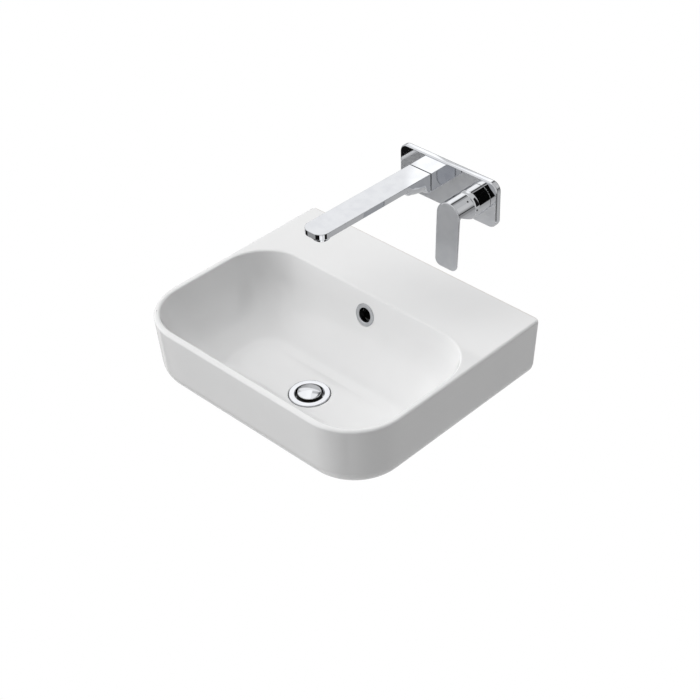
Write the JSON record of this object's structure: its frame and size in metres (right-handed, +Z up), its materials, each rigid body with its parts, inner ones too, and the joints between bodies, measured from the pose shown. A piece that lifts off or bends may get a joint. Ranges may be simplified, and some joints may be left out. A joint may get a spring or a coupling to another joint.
{
  "type": "wall-hung basin",
  "caption": "Wall-hung ceramic basin with overflow and pop-up waste, shown with the wall-mounted spout and lever mixer above it.",
  "frame": {"origin": "on the wall's face, midway between the two wall bolts, 60 mm below the rim", "axes": "+X to the right as seen from the front, +Y into the wall so that the front of the basin is at -Y, +Z up"},
  "size_m": [0.5, 0.476, 0.4205],
  "materials": {
    "glaze": "gloss",
    "chrome": "polished",
    "rubber": "matt",
    "brass": "satin",
    "steel": "satin",
    "white_plastic": "satin",
    "grey_plastic": "satin",
    "disc": "ground"
  },
  "bodies": {
    "fixed_set": {"basin_body": "glaze", "basin_back": "glaze", "overflow_ring": "chrome", "overflow_sleeve": "grey_plastic", "waste_flange": "chrome", "waste_top_seal": "rubber", "waste_tail": "chrome", "waste_cone_seal": "rubber", "waste_nut": "chrome", "click_cartridge": "white_plastic", "wall_bolts": "steel", "bolt_sleeves": "grey_plastic", "bolt_washers": "steel", "bolt_nuts": "steel", "mixer_body": "brass", "plate_gasket": "rubber", "tap_plate": "chrome", "spout_nipple": "brass", "spout_nut": "brass", "spout_root": "chrome", "spout_seal": "rubber", "spout_arm": "chrome", "spout_grub_screw": "steel", "aerator_ring": "chrome", "aerator_insert": "white_plastic", "mixer_collar": "chrome", "mixer_sleeve": "chrome", "cartridge_body": "white_plastic", "cartridge_nut": "brass", "fixed_disc": "disc"},
    "plug": {"plug_dome": "chrome", "plug_seal": "rubber", "plug_stem": "brass"},
    "lever_carrier": {"cartridge_carrier": "grey_plastic", "moving_disc": "disc", "tilt_pin": "steel"},
    "lever": {"lever_handle": "chrome", "spindle": "steel", "lever_screw": "steel"}
  },
  "joints": [
    {"name": "plug_slide", "type": "slide", "parent": "fixed_set", "child": "plug", "axis": [0, 0, 1], "range_m": [-0.005, 0]},
    {"name": "lever_turn", "type": "hinge", "parent": "fixed_set", "child": "lever_carrier", "pos_m": [0.14, -0.046, 0.25], "axis": [0, 1, 0], "range_deg": [-45, 45]},
    {"name": "lever_lift", "type": "hinge", "parent": "lever_carrier", "child": "lever", "pos_m": [0.14, -0.046, 0.25], "axis": [-1, 0, 0], "range_deg": [0, 20]}
  ]
}
